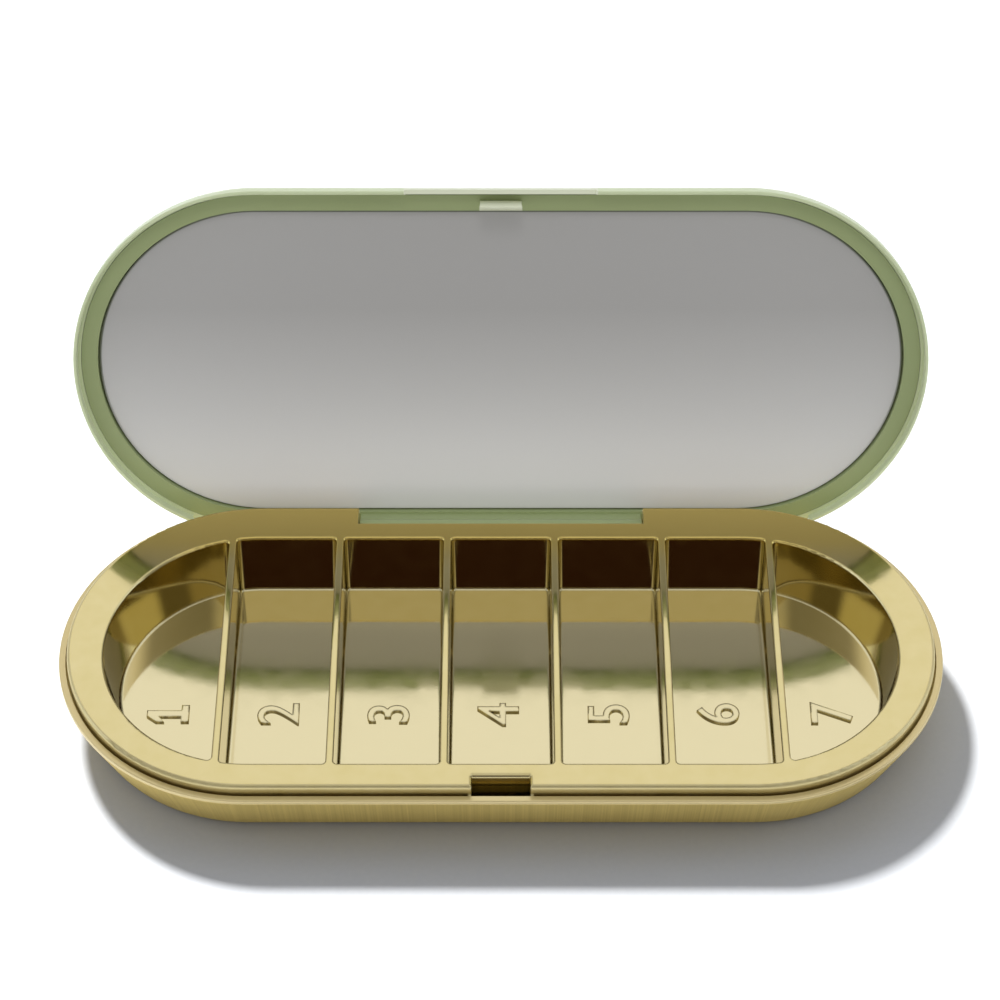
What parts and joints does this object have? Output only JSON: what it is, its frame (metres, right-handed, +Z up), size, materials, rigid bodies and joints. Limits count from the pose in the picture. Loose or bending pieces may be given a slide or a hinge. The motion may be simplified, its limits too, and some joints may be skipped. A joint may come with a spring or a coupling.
{
  "type": "weekly pill box",
  "caption": "Round-ended hinged pill case with a divided tray in its base and a mirror in its lid, held shut by a front snap tab.",
  "frame": {"origin": "middle of the flat underside of the base", "axes": "+X along the case, +Y to the hinge side, +Z up"},
  "size_m": [0.1722, 0.1053, 0.077],
  "materials": {
    "gold_shell": "metallised gold, fine grain",
    "gold_tray": "metallised gold, polished",
    "pin_steel": "ground",
    "sage_plastic": "satin",
    "mirror_glass": "silvered",
    "adhesive": "foam tape"
  },
  "bodies": {
    "base": {"base_shell": "gold_shell", "compartment_tray": "gold_tray", "hinge_pin_left": "pin_steel", "hinge_pin_right": "pin_steel"},
    "lid": {"lid_cover": "sage_plastic", "lid_frame": "sage_plastic", "mirror": "mirror_glass", "mirror_adhesive": "adhesive"}
  },
  "joints": [
    {"name": "lid_hinge", "type": "hinge", "parent": "base", "child": "lid", "pos_m": [0, 0.0344, 0.01095], "axis": [-1, 0, 0], "range_deg": [-110.5, 0]}
  ]
}
